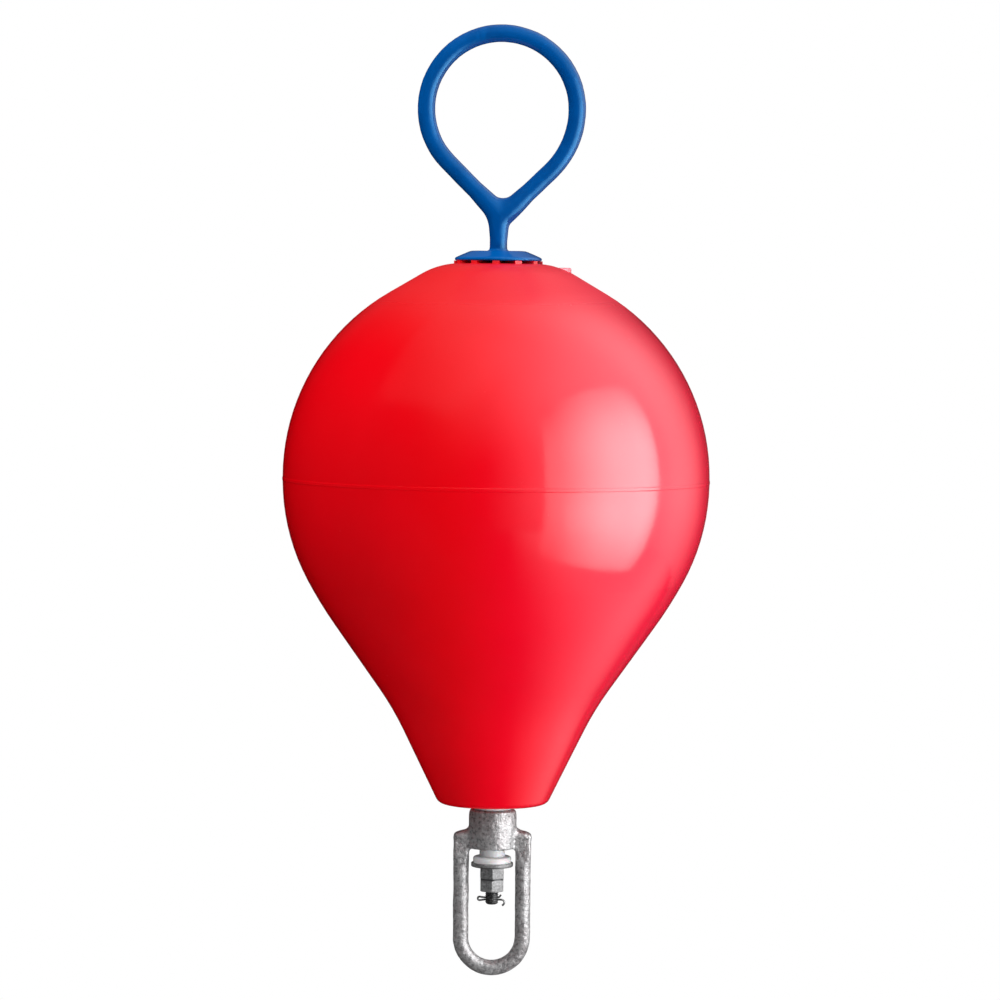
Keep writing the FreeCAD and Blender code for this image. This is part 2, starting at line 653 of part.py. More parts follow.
LEG_RUN = ("((Sizes.bend_radius * (cos(Sizes.leg_angle) - 1) + Sizes.eye_radius * cos(Sizes.leg_angle)"
           " - Sizes.eye_shift) / sin(Sizes.leg_angle))")
EYE_HEIGHT = ("(Sizes.stem_height + (Sizes.bend_radius + Sizes.eye_radius) * sin(Sizes.leg_angle)"
              " + %s * cos(Sizes.leg_angle))" % LEG_RUN)
CLOSE_REACH = ("(Sizes.eye_shift + Sizes.eye_radius"
               " - Sizes.close_radius * (1 - cos(Sizes.close_angle)))")
WELD_HEIGHT = ("%s - Sizes.close_radius * sin(Sizes.close_angle) - %s / tan(Sizes.close_angle)"
               % (EYE_HEIGHT, CLOSE_REACH))


def make_eye_rod():
    """The rod, bent into an open loop above the float, its end welded to the stem."""
    body = new_body("eye_rod")
    p = eye_points()
    leg, close = S["leg_angle"], S["close_angle"]

    o = Outline(body, "BarPath", "XZ_Plane")
    stem = o.line((0, 0), (0, S["stem_height"]))
    bend = o.arc(p["bend_centre"], S["bend_radius"], 0, leg, True)
    left = o.line(p["leg_start"], p["leg_end"], True)
    ring = o.arc(p["ring_centre"], S["eye_radius"], 180 + leg, 0, True)
    o.rule("Coincident", stem, 1, -1, 1)
    o.rule("Vertical", stem)
    o.place(stem, 2, up="Sizes.stem_height")
    o.rule("Radius", bend, S["bend_radius"], size="Sizes.bend_radius")
    o.rule("Angle", left, math.radians(90 + leg), size="90 + Sizes.leg_angle")
    o.rule("Radius", ring, S["eye_radius"], size="Sizes.eye_radius")
    o.place(ring, 3, across="Sizes.eye_shift")
    o.rule("Horizontal", ring, 3, ring, 1)
    bar = Outline(body, "BarSection", "XY_Plane")
    circle(bar, 0, 0, S["rod_radius"] + S["coat"], "Sizes.rod_radius + Sizes.coat")
    sweep(body, "CoatedBar", bar, o, 4)

    o = Outline(body, "ClosePath", "XZ_Plane")
    wide = o.arc(p["wide_centre"], S["close_radius"], 0, -close)
    right = o.line(p["close_start"], p["weld"], True)
    o.place(wide, 2, across="Sizes.eye_shift + Sizes.eye_radius", up=EYE_HEIGHT)
    o.rule("Horizontal", wide, 3, wide, 2)
    o.rule("Radius", wide, S["close_radius"], size="Sizes.close_radius")
    o.rule("Angle", right, math.radians(-90 - close), size="-90 - Sizes.close_angle")
    o.rule("PointOnObject", right, 2, -2)
    bar = Outline(body, "CloseSection", "XY_Plane", EYE_HEIGHT)
    circle(bar, p["side"][0], 0, S["rod_radius"] + S["coat"], "Sizes.rod_radius + Sizes.coat",
           across="Sizes.eye_shift + Sizes.eye_radius")
    sweep(body, "ClosedLeg", bar, o, 2)

    length = SEAT + " + " + NUT_BASE
    reach = seat + nut_base
    tip, chamfer = S["tip_length"], S["tip_chamfer"]
    shaft = polygon(body, "ShaftSection", [
        (0, 0, None, None),
        (S["rod_radius"], 0, "Sizes.rod_radius", None),
        (S["rod_radius"], -reach, "Sizes.rod_radius", "-" + length),
        (S["tip_radius"], -reach, "Sizes.tip_radius", "-" + length),
        (S["tip_radius"], -reach - tip + chamfer, "Sizes.tip_radius",
         "-(%s + Sizes.tip_length - Sizes.tip_chamfer)" % length),
        (S["tip_radius"] - chamfer, -reach - tip, "Sizes.tip_radius - Sizes.tip_chamfer",
         "-(%s + Sizes.tip_length)" % length),
        (0, -reach - tip, None, "-(%s + Sizes.tip_length)" % length),
    ])
    revolve(body, "Shaft", shaft)

    weld_z = p["weld"][1]
    weld = Outline(body, "WeldSection", "XZ_Plane")
    rise = S["weld_height"]
    corners = [(0, weld_z), (S["weld_right"], weld_z + rise), (-S["weld_left"], weld_z + rise)]
    sides = [weld.line(corners[i], corners[(i + 1) % 3]) for i in range(3)]
    weld.close(sides[0], 1)
    weld.rule("PointOnObject", sides[0], 1, -2)
    weld.place(sides[0], 1, up=WELD_HEIGHT)
    weld.rule("Horizontal", sides[1])
    weld.place(sides[1], 1, across="Sizes.weld_right")
    weld.rule("DistanceX", sides[2], 1, -1, 1, S["weld_left"], size="Sizes.weld_left")
    weld.rule("DistanceY", sides[0], 1, sides[0], 2, rise, size="Sizes.weld_height")
    bead = body.newObject("PartDesign::Pad", "Weld")
    bead.Profile = weld.sketch
    bead.Midplane = True
    bead.setExpression("Length", "Sizes.weld_depth")

    cross = Outline(body, "CrossHole", "YZ_Plane")
    circle(cross, 0, -reach - S["pin_drop"], pin_hole, PIN_HOLE,
           down=length + " + Sizes.pin_drop")
    hole = body.newObject("PartDesign::Pocket", "PinHole")
    hole.Profile = cross.sketch
    hole.Midplane = True
    hole.setExpression("Length", "2 * (Sizes.rod_radius + Sizes.coat)")
    lift(body, SEAT)
    return body


def make_split_pin():
    """One wire: short leg, back through the rod, round the eye, through again, bent down."""
    body = new_body("split_pin")
    wire, bend, eye = S["pin_wire"] / 2, S["pin_bend"], S["pin_eye"]
    gap = wire + S["pin_gap"] / 2
    start = -S["pin_left"]
    swing = math.degrees(math.asin((gap + bend) / (eye + bend)))
    eye_x = start - (eye + bend) * cosine(swing)
    turn_x = S["pin_long"] - bend

    o = Outline(body, "WirePath", "XZ_Plane")
    short = o.line((S["pin_short"], gap), (start, gap))
    flare = o.arc((start, gap + bend), bend, 270, 180 + swing, True)
    loop = o.arc((eye_x, 0), eye, swing, 360 - swing, True)
    back = o.arc((start, -gap - bend), bend, 180 - swing, 90, True)
    through = o.line((start, -gap), (turn_x, -gap), True)
    hook = o.arc((turn_x, -gap - bend), bend, 90, 0, True)
    leg = o.line((S["pin_long"], -gap - bend), (S["pin_long"], -gap - bend - S["pin_leg"]), True)
    half = "Sizes.pin_wire / 2 + Sizes.pin_gap / 2"
    o.place(short, 1, across="Sizes.pin_short", up=half)
    o.rule("Horizontal", short)
    o.rule("DistanceX", short, 2, -1, 1, S["pin_left"], size="Sizes.pin_left")
    for arc in (flare, back, hook):
        o.rule("Radius", arc, bend, size="Sizes.pin_bend")
    o.rule("Radius", loop, eye, size="Sizes.pin_eye")
    o.rule("PointOnObject", loop, 3, -1)
    o.rule("Horizontal", through)
    o.place(through, 1, down=half)
    o.rule("Vertical", leg)
    o.place(leg, 1, across="Sizes.pin_long")
    o.rule("DistanceY", leg, 2, leg, 1, S["pin_leg"], size="Sizes.pin_leg")

    section = Outline(body, "WireSection", "YZ_Plane", "Sizes.pin_short")
    circle(section, 0, gap, wire, "Sizes.pin_wire / 2", up=half)
    sweep(body, "Wire", section, o, 7)
    lift(body, "-%s - Sizes.pin_drop" % NUT_BASE)
    return body


# ---------------------------------------------------------------- swivel eye
def arm_section(body, name, level, corner, corner_size):
    """A square about the right arm's centre line, with rounded corners."""
    o = Outline(body, name, "XY_Plane", level)
    middle, half = arm_offset, S["arm_radius"]
    near = half - corner
    bottom = o.line((middle - near, -half), (middle + near, -half))
    arcs = [o.arc((middle + near, -near), corner, -90, 0, True)]
    right = o.line((middle + half, -near), (middle + half, near), True)
    arcs.append(o.arc((middle + near, near), corner, 0, 90, True))
    top = o.line((middle + near, half), (middle - near, half), True)
    arcs.append(o.arc((middle - near, near), corner, 90, 180, True))
    left = o.line((middle - half, near), (middle - half, -near), True)
    arcs.append(o.arc((middle - near, -near), corner, 180, 270, True))
    o.close(bottom, 1, True)
    for edge, kind in ((bottom, "Horizontal"), (top, "Horizontal"), (right, "Vertical"), (left, "Vertical")):
        o.rule(kind, edge)
    for arc in arcs[1:]:
        o.rule("Equal", arcs[0], arc)
    o.rule("Radius", arcs[0], corner, size=corner_size)
    o.place(right, 1, across=ARM + " + Sizes.arm_radius")
    o.place(left, 1, across=ARM + " - Sizes.arm_radius")
    o.place(bottom, 1, down="Sizes.arm_radius")
    o.place(top, 1, up="Sizes.arm_radius")
    return o.sketch


ROOT = "(Sizes.sleeve_length - Sizes.sleeve_drop + Sizes.window_corner)"


def shoulder_outline(body):
    """Front view of the shoulders: hollow tops, ears, and the head of the window."""
    head, top, slope = S["sleeve_length"] - S["sleeve_drop"], S["shoulder_top"], S["ear_slope"]
    curve, ear, corner = S["shoulder_curve"], S["ear_round"], S["window_corner"]
    side = S["arm_radius"]
    root = math.sqrt(sleeve_radius ** 2 - side ** 2)
    out, inner = arm_offset + side, arm_offset - side
    foot = -head - corner
    hollow = (root + curve * (1 - sine(slope)), -top - curve * cosine(slope))
    ear_x = out - ear
    brow = ear_x + ear * sine(slope)
    ear_z = hollow[1] - (brow - hollow[0]) * math.tan(math.radians(slope)) - ear * cosine(slope)
    ear_top = ear_z + ear * cosine(slope)

    o = Outline(body, "ShoulderSection", "XZ_Plane")
    across = o.line((-root, -top), (root, -top))
    curve_r = o.arc((root + curve, -top), curve, 180, 270 - slope)
    slope_r = o.line(hollow, (brow, ear_top), True)
    ear_r = o.arc((ear_x, ear_z), ear, 90 - slope, 0, True)
    side_r = o.line((out, ear_z), (out, foot), True)
    foot_r = o.line((out, foot), (inner, foot))
    arc_r = o.arc((inner - corner, foot), corner, 0, 90)
    lintel = o.line((inner - corner, -head), (corner - inner, -head), True)
    arc_l = o.arc((corner - inner, foot), corner, 90, 180, True)
    foot_l = o.line((-inner, foot), (-out, foot))
    side_l = o.line((-out, foot), (-out, ear_z))
    ear_l = o.arc((-ear_x, ear_z), ear, 180, 90 + slope, True)
    slope_l = o.line((-brow, ear_top), (-hollow[0], hollow[1]), True)
    curve_l = o.arc((-root - curve, -top), curve, slope - 90, 0, True)
    o.close(across, 1)

    for edge in (foot_r, lintel, foot_l):
        o.rule("Horizontal", edge)
    for edge in (side_r, side_l):
        o.rule("Vertical", edge)
    o.rule("Symmetric", across, 1, across, 2, -2)
    for left, right in ((arc_l, arc_r), (curve_l, curve_r)):
        o.rule("Symmetric", left, 3, right, 3, -2)
    o.rule("Symmetric", slope_l, 1, slope_r, 2, -2)
    o.rule("Equal", ear_l, ear_r)
    o.rule("PointOnObject", foot_l, 1, foot_r)
    o.rule("Horizontal", across, 2, curve_r, 3)
    o.rule("Radius", curve_r, curve, size="Sizes.shoulder_curve")
    o.rule("Angle", slope_r, -math.radians(slope), size="-Sizes.ear_slope")
    o.rule("Radius", ear_r, ear, size="Sizes.ear_round")
    o.rule("Radius", arc_r, corner, size="Sizes.window_corner")
    o.place(across, 2, across="sqrt(%s ^ 2 - Sizes.arm_radius ^ 2)" % SLEEVE,
            down="Sizes.shoulder_top")
    o.place(side_r, 2, across=ARM + " + Sizes.arm_radius", down=ROOT)
    o.place(lintel, 1, down="Sizes.sleeve_length - Sizes.sleeve_drop")
    o.place(foot_r, 2, across=ARM + " - Sizes.arm_radius")
    return o.sketch


def make_swivel_eye():
    """Forging: hollow shoulders out of a bored sleeve, square roots, round arms and a bow."""
    body = new_body("swivel_eye")
    radius, length = sleeve_radius, S["sleeve_length"]
    side, offset = S["arm_radius"], arm_offset
    foot = -(length - S["sleeve_drop"] + S["window_corner"])

    shoulders = body.newObject("PartDesign::Pad", "Shoulders")
    shoulders.Profile = shoulder_outline(body)
    shoulders.Midplane = True
    shoulders.setExpression("Length", "2 * Sizes.arm_radius")
    round_edges(body, "ShoulderRound", face_outline(side, foot), "Sizes.web_round")

    end = ROOT + " + Sizes.root_length"
    root = body.newObject("PartDesign::AdditiveLoft", "ArmRoot")
    root.Profile = arm_section(body, "RootTop", "-" + ROOT, S["web_round"], "Sizes.web_round")
    root.Sections = [arm_section(body, "RootEnd", "-(%s)" % end, side - S["root_flat"],
                                 "Sizes.arm_radius - Sizes.root_flat")]
    roots = body.newObject("PartDesign::Mirrored", "ArmRoots")
    roots.Originals = [root]
    roots.MirrorPlane = (origin_plane(body, "YZ_Plane"), [""])
    body.Tip = roots

    plan = Outline(body, "SleevePlan", "XY_Plane")
    circle(plan, 0, 0, radius, SLEEVE)
    sleeve = body.newObject("PartDesign::Pad", "Sleeve")
    sleeve.Profile = plan.sketch
    sleeve.Reversed = True
    sleeve.setExpression("Length", "Sizes.sleeve_length")
    round_edges(body, "SleeveEdge", ring_at(radius, 0), "Sizes.sleeve_edge")
    round_edges(body, "ShoulderFillet", on_sleeve(radius, length), "Sizes.web_fillet")

    path = Outline(body, "BowPath", "XZ_Plane")
    start, low = foot - S["root_length"], -length - S["arm_length"]
    left = path.line((-offset, start), (-offset, low))
    bow = path.arc((0, low), offset, 180, 360, True)
    right = path.line((offset, low), (offset, start), True)
    path.rule("Vertical", left)
    path.rule("Vertical", right)
    path.rule("PointOnObject", bow, 3, -2)
    path.rule("Radius", bow, offset, size=ARM)
    path.place(bow, 3, down="Sizes.sleeve_length + Sizes.arm_length")
    for edge, point in ((left, 1), (right, 2)):
        path.place(edge, point, down=end)
    bar = Outline(body, "BowSection", "XY_Plane", "-(%s)" % end)
    edge = bar.sketch.addGeometry(Part.Circle(Vector(-offset, 0, 0), Vector(0, 0, 1), side))
    bar.rule("DistanceX", edge, 3, -1, 1, offset, size=ARM)
    bar.rule("PointOnObject", edge, 3, -1)
    bar.rule("Radius", edge, side, size="Sizes.arm_radius")
    sweep(body, "Bow", bar, path, 3)

    hole = Outline(body, "BoreSection", "XY_Plane")
    circle(hole, 0, 0, S["bushing_radius"] + S["swivel_gap"], "Sizes.bushing_radius + Sizes.swivel_gap")
    drill = body.newObject("PartDesign::Pocket", "Bore")
    drill.Profile = hole.sketch
    drill.setExpression("Length", ROOT)
    lift(body, "-Sizes.float_depth - Sizes.bushing_thick - Sizes.seat_gap")
    return body


# ---------------------------------------------------------------- build and write
def build():
    upper, lower = make_bushings()
    nut_top = "-%s - Sizes.washer_thick - %%s * Sizes.nut_height" % STACK
    return [
        make_float(),
        make_valve_plug(),
        make_flange(),
        make_eye_rod(),
        upper,
        lower,
        make_swivel_eye(),
        make_washer(),
        make_nut("nut", nut_top % 1, "Sizes.nut_set"),
        make_nut("lock_nut", nut_top % 2, "Sizes.nut_set + Sizes.nut_turn"),
        make_split_pin(),
    ]


def check(pieces):
    for item in doc.Objects:
        if "Invalid" in item.State or "Error" in item.State:
            raise RuntimeError("%s: %s" % (item.Name, item.State))
    for item in doc.findObjects("Sketcher::SketchObject"):
        if not item.FullyConstrained:
            raise RuntimeError("%s is not fully constrained" % item.Name)
    for piece in pieces:
        shape = piece.Shape
        if shape.isNull() or not shape.isValid() or len(shape.Solids) != 1:
            raise RuntimeError("%s has no single valid solid" % piece.Label)


pieces = build()
doc.recompute()
check(pieces)
os.makedirs("parts", exist_ok=True)
for piece in pieces:
    piece.Shape.exportStep("parts/%s.step" % piece.Label)
    print("%-14s %12.1f mm3" % (piece.Label, piece.Shape.Volume))
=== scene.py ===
import bpy
import math
from mathutils import Matrix, Vector


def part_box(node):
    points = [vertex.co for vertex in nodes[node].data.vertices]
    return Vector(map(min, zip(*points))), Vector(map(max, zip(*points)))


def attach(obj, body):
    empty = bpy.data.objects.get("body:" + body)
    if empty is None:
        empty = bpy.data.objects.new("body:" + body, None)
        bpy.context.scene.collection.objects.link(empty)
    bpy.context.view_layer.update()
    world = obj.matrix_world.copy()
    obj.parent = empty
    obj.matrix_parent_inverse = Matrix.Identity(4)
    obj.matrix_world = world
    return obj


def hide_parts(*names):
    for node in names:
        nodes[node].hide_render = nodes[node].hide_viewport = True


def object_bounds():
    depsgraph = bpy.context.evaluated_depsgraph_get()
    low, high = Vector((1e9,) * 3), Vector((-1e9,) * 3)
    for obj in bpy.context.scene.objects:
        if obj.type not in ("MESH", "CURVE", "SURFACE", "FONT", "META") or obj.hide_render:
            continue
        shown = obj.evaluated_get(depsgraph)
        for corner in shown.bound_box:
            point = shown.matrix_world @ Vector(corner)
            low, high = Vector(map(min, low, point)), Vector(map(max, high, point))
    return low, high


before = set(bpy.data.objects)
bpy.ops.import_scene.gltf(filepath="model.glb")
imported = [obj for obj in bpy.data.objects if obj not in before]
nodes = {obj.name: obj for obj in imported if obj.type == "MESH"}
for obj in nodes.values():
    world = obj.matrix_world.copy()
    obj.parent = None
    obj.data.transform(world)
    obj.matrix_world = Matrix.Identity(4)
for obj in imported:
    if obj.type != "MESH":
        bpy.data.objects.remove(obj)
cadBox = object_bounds()
scene = bpy.context.scene
scene.view_settings.view_transform = "Standard"
print("frame loaded,", len(nodes), "nodes")

# levels on the buoy that several pieces and finishes share
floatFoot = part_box("float")[0].z
seat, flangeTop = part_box("flange")[0].z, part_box("flange")[1].z
nutFoot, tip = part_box("lock_nut")[0].z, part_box("eye_rod")[0].z
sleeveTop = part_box("swivel_eye")[1].z


# helpers for modelling
def pick(*objects):
    if bpy.context.object and bpy.context.object.mode != "OBJECT":
        bpy.ops.object.mode_set(mode="OBJECT")
    bpy.ops.object.select_all(action="DESELECT")
    for obj in objects:
        obj.select_set(True)
    bpy.context.view_layer.objects.active = objects[-1]
    return objects[-1]


def newest(name):
    # names what the last operator added and leaves it alone in the selection
    obj = pick(bpy.context.object)
    obj.name = obj.data.name = name
    return obj


def editAll(obj, operator, **settings):
    # one edit-mode operator on the whole mesh
    pick(obj)
    bpy.ops.object.mode_set(mode="EDIT")
    bpy.ops.mesh.select_all(action="SELECT")
    operator(**settings)
    bpy.ops.object.mode_set(mode="OBJECT")


def trim(obj, height, **side):
    # cuts a piece off level and closes the cut
    editAll(obj, bpy.ops.mesh.bisect, plane_co=(0, 0, height), plane_no=(0, 0, 1), use_fill=True, **side)


def modify(obj, kind, **settings):
    pick(obj)
    step = obj.modifiers.new(kind.lower(), kind)
    for name, value in settings.items():
        setattr(step, name, value)
    bpy.ops.object.modifier_apply(modifier=step.name)


def smooth(obj, passes, group=""):
    modify(obj, "SMOOTH", factor=0.5, iterations=passes, vertex_group=group)


def copyNode(node, name):
    # a welded copy of a solid from the frame
    obj = bpy.data.objects.new(name, nodes[node].data.copy())
    obj.data.name = name
    scene.collection.objects.link(obj)
    obj.data.materials.clear()
    pick(obj)
    bpy.ops.mesh.customdata_custom_splitnormals_clear()
    editAll(obj, bpy.ops.mesh.remove_doubles, threshold=1e-6)
    return obj


def join(name, *objects):
    obj = pick(*objects)
    bpy.ops.object.join()
    obj.name = obj.data.name = name
    return obj


def settle(obj):
    # place, turn and size go into the mesh
    pick(obj)
    bpy.ops.object.transform_apply(location=True, rotation=True, scale=True)


def lumps(obj, size, height, group):
    # pushes the surface in and out by a cloud pattern
    pattern = bpy.data.textures.new("lumps", "CLOUDS")
    pattern.noise_scale = size
    pattern.noise_depth = 2
    modify(obj, "DISPLACE", texture=pattern, strength=height, mid_level=0.5,
           texture_coords="LOCAL", vertex_group=group)


def swell(obj, height, group):
    modify(obj, "DISPLACE", strength=height, mid_level=0.0, vertex_group=group)


def weigh(obj, name, weight):
    # vertex group whose weight comes from a vertex's place
    group = obj.vertex_groups.new(name=name)
    for v in obj.data.vertices:
        w = weight(v.co)
        if w > 0:
            group.add([v.index], min(1.0, w), "REPLACE")


def dress(obj, body, material, replaced):
    settle(obj)
    obj.data.materials.clear()
    obj.data.materials.append(material)
    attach(obj, body)
    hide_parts(replaced)
    print("piece", obj.name, "with", len(obj.data.polygons), "faces")


# helpers for materials
class Wire:
    # a socket that can stand in sums
    def __init__(self, home, socket):
        self.home, self.socket = home, socket

    def maths(self, operation, first, second):
        return self.home.node("ShaderNodeMath", {"operation": operation}, {0: first, 1: second})

    def __add__(self, other):
        return self.maths("ADD", self, other)

    __radd__ = __add__

    def __sub__(self, other):
        return self.maths("SUBTRACT", self, other)

    def __rsub__(self, other):
        return self.maths("SUBTRACT", other, self)

    def __mul__(self, other):
        return self.maths("MULTIPLY", self, other)

    __rmul__ = __mul__

    def __abs__(self):
        return self.maths("ABSOLUTE", self, 0.0)


class ShaderTree:
    # the node tree of a material or a world
    def __init__(self, owner):
        owner.use_nodes = True
        self.tree = owner.node_tree

    def node(self, kind, settings=None, sockets=None, output=0):
        made = self.tree.nodes.new(kind)
        for name, value in (settings or {}).items():
            setattr(made, name, value)
        for key, value in (sockets or {}).items():
            self.plug(value, made.inputs[key])
        return Wire(self, made.outputs[output])

    def plug(self, value, socket):
        if isinstance(value, Wire):
            self.tree.links.new(value.socket, socket)
        else:
            socket.default_value = value

    def ramp(self, value, low, high, first=0.0, last=1.0):
        return self.node("ShaderNodeMapRange", {"interpolation_type": "SMOOTHSTEP"},
                         {"Value": value, "From Min": low, "From Max": high, "To Min": first, "To Max": last})

    def seen(self):
        # 1 for what the camera sees straight, in gloss or through glass
        kinds = ("Is Camera Ray", "Is Glossy Ray", "Is Transmission Ray")
        return sum(self.node("ShaderNodeLightPath", output=kind) for kind in kinds)


class Finish(ShaderTree):
    def __init__(self, name, **constants):
        self.material = bpy.data.materials.new(name)
        super().__init__(self.material)
        self.shader = self.tree.nodes["Principled BSDF"]
        self.feed(**constants)
        self.place = self.node("ShaderNodeTexCoord", output="Object")
        print("material", name)

    def feed(self, **values):
        for socket, value in values.items():
            self.plug(value, self.shader.inputs[socket.replace("_", " ")])

    def surface(self, shown):
        self.plug(shown, self.tree.nodes["Material Output"].inputs["Surface"])

    def noise(self, size, detail=2.0, rough=0.5, place=None, twist=0.0):
        # size is in metres
        return self.node("ShaderNodeTexNoise", None,
                         {"Vector": place or self.place, "Scale": 1 / size, "Detail": detail,
                          "Roughness": rough, "Distortion": twist})

    def cells(self, size):
        return self.node("ShaderNodeTexVoronoi", {"feature": "F1"},
                         {"Vector": self.place, "Scale": 1 / size}, "Distance")

    def mix(self, amount, first, second):
        return self.node("ShaderNodeMix", {"data_type": "RGBA"}, {0: amount, 6: first, 7: second}, 2)

    def part(self, axis):
        return self.node("ShaderNodeSeparateXYZ", None, {0: self.place}, axis)

    def stretched(self, x, y, z):
        return self.node("ShaderNodeMapping", None, {"Vector": self.place, "Scale": (x, y, z)})

    def bump(self, height, distance):
        return self.node("ShaderNodeBump", None, {"Height": height, "Distance": distance})


def colour(red, green, blue):
    # screen colour, 0 to 255, as the linear colour that a shader takes
    def linear(c):
        c /= 255
        return c / 12.92 if c <= 0.04045 else ((c + 0.055) / 1.055) ** 2.4
    return (linear(red), linear(green), linear(blue), 1.0)


# In the looks below sizes are in metres. A ramp is where it starts and ends, then its two values
# where they aren't 0 and 1.
# Painted light in the vinyl look: a crimson colour and a ramp across the buoy tint its lit right side.
vinylLook = {
    "red": (0.84, 0.0002, 0.0055, 1.0), "deep": (0.80, 0.0001, 0.0045, 1.0),
    "paintedLitTint": (0.84, 0.0002, 0.034, 1.0), "worn": (0.85, 0.010, 0.028, 1.0),
    "cloud": 0.16, "drift": (0.35, 0.65), "paintedLitSide": (-0.06, 0.16),
    "scuff": 0.004, "scuffed": (0.62, 0.75), "patch": 0.012, "patched": (0.45, 0.65),
    "girdle": (0.0, 0.012, 1.0, 0.0), "ends": (floatFoot, floatFoot + 0.015, 1.0, 0.0),
    "crown": (seat - 0.0685, seat - 0.0235), "elsewhere": 0.12, "wear": 0.35,
    "rough": 0.10, "haze": 0.05, "hazeRough": 0.06, "wornRough": 0.2, "crownRough": 0.25,
    "peel": 0.0035, "wave": 0.03, "waveShare": 6.0, "peelHeight": 0.00003,
}


def makeRedVinyl():
    look = vinylLook
    f = Finish("redVinyl", IOR=1.5)
    z = f.part("Z")
    # colour drifts a little, as in a thick moulding
    shade = f.mix(f.ramp(f.noise(look["cloud"], 3.0), *look["drift"]), look["deep"], look["red"])
    # painted light: the right side, where the key light falls, is tinted towards crimson
    shade = f.mix(f.ramp(f.part("X"), *look["paintedLitSide"]), shade, look["paintedLitTint"])
    # handling has dulled the widest part and the base
    scuffs = f.noise(look["scuff"], 4.0, 0.7, f.stretched(1.0, 1.0, 0.25))
    rubbed = f.ramp(scuffs, *look["scuffed"]) * f.ramp(f.noise(look["patch"], 3.0, 0.6), *look["patched"])
    worn = f.ramp(abs(z), *look["girdle"]) + f.ramp(z, *look["ends"]) + look["elsewhere"]
    shade = f.mix(rubbed * look["wear"] * worn, shade, look["worn"])
    haze = f.noise(look["haze"], 4.0)
    crown = f.ramp(z, *look["crown"])
    roughness = look["rough"] + look["hazeRough"] * haze + look["wornRough"] * rubbed
    height = f.noise(look["peel"], 2.0) + f.noise(look["wave"], 2.0) * look["waveShare"]
    f.feed(Base_Color=shade, Roughness=roughness + look["crownRough"] * crown,
           Normal=f.bump(height, look["peelHeight"]))
    return f.material


valveLook = {
    "pale": colour(242, 146, 158), "deep": colour(234, 124, 138), "cloud": 0.01, "drift": (0.3, 0.7),
    "rough": 0.28, "haze": 0.006, "hazeRough": 0.1, "grain": 0.002, "grainHeight": 0.00004,
}


def makePaleValve():
    look = valveLook
    f = Finish("paleValve", IOR=1.5, Subsurface_Weight=0.15, Subsurface_Scale=0.004)
    shade = f.mix(f.ramp(f.noise(look["cloud"], 3.0), *look["drift"]), look["pale"], look["deep"])
    f.feed(Base_Color=shade, Roughness=look["rough"] + look["hazeRough"] * f.noise(look["haze"], 3.0),
           Normal=f.bump(f.noise(look["grain"], 2.0), look["grainHeight"]))
    return f.material


coatLook = {
    "blue": colour(0, 77, 149), "deep": colour(0, 68, 136), "thin": colour(2, 88, 164),
    # painted sheen: a brighter blue for the flange, and the span where it starts
    "paintedSheenBlue": colour(0, 92, 172), "paintedSheenSpan": (flangeTop + 0.004, flangeTop, 0.0, 0.9),
    "cloud": 0.05, "drift": (0.35, 0.65), "streak": 0.012, "streaked": (0.55, 0.8, 0.0, 0.5),
    "rough": 0.07, "streakRough": 0.08, "sag": 0.02, "sagHeight": 0.0004, "grain": 0.0015,
    "grainHeight": 0.00001,
}


def makeBlueCoat():
    look = coatLook
    f = Finish("blueCoat", IOR=1.45, Specular_Tint=(0.16, 0.6, 1.0, 1.0))
    shade = f.mix(f.ramp(f.noise(look["cloud"], 3.0), *look["drift"]), look["deep"], look["blue"])
    streaks = f.noise(look["streak"], 3.0, 0.6, f.stretched(1.0, 1.0, 0.3))
    shade = f.mix(f.ramp(streaks, *look["streaked"]), shade, look["thin"])
    # painted sheen: the flange is painted a brighter blue, standing in for the blue sheen its top catches
    shade = f.mix(f.ramp(f.part("Z"), *look["paintedSheenSpan"]), shade, look["paintedSheenBlue"])
    height = f.noise(look["sag"], 2.0) * look["sagHeight"] + f.noise(look["grain"], 2.0) * look["grainHeight"]
    f.feed(Base_Color=shade, Roughness=look["rough"] + look["streakRough"] * streaks,
           Normal=f.bump(height, 1.0))
    return f.material


forgedLook = {
    "dark": (0.10, 0.10, 0.102, 1.0), "mid": (0.26, 0.25, 0.255, 1.0), "light": (0.33, 0.33, 0.335, 1.0),
    "bloom": (0.46, 0.46, 0.465, 1.0), "pitAndCreviceShade": (0.06, 0.06, 0.062, 1.0),
    "grain": 0.0032, "metal": 0.35, "rough": 0.3, "pitted": 0.55, "height": 0.0008, "flecked": 0.45,
    "joints": (),
}
plainLook = {
    "dark": (0.09, 0.09, 0.092, 1.0), "mid": (0.15, 0.15, 0.152, 1.0), "light": (0.21, 0.21, 0.212, 1.0),
    "bloom": (0.34, 0.34, 0.345, 1.0), "pitAndCreviceShade": (0.05, 0.05, 0.052, 1.0),
    "grain": 0.0020, "metal": 0.26, "rough": 0.4, "pitted": 0.4, "height": 0.00032, "flecked": 0.7,
    # painted shade at the levels where two parts of the stack meet
    "joints": (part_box("nut")[0].z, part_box("washer")[0].z),
}


# what both zinc finishes share
zinc = {
    "patches": 5, "mottled": (0.35, 0.65), "flecked": (0.52, 0.38), "bloomed": (0.56, 0.66), "blooming": 0.8,
    "cells": 1.6, "hollow": (0.0, 0.25, 1.0, 0.0), "clusters": 4, "clustered": (0.48, 0.6),
    # the next ramp paints shade along the lines where parts meet; the pit colour serves both pits and that
    # shade
    "paintedShadeSeam": (0.0004, 0.0016, 0.97, 0.0), "bloomDulls": 0.3, "fleckRough": 0.3, "bloomRough": 0.12,
}


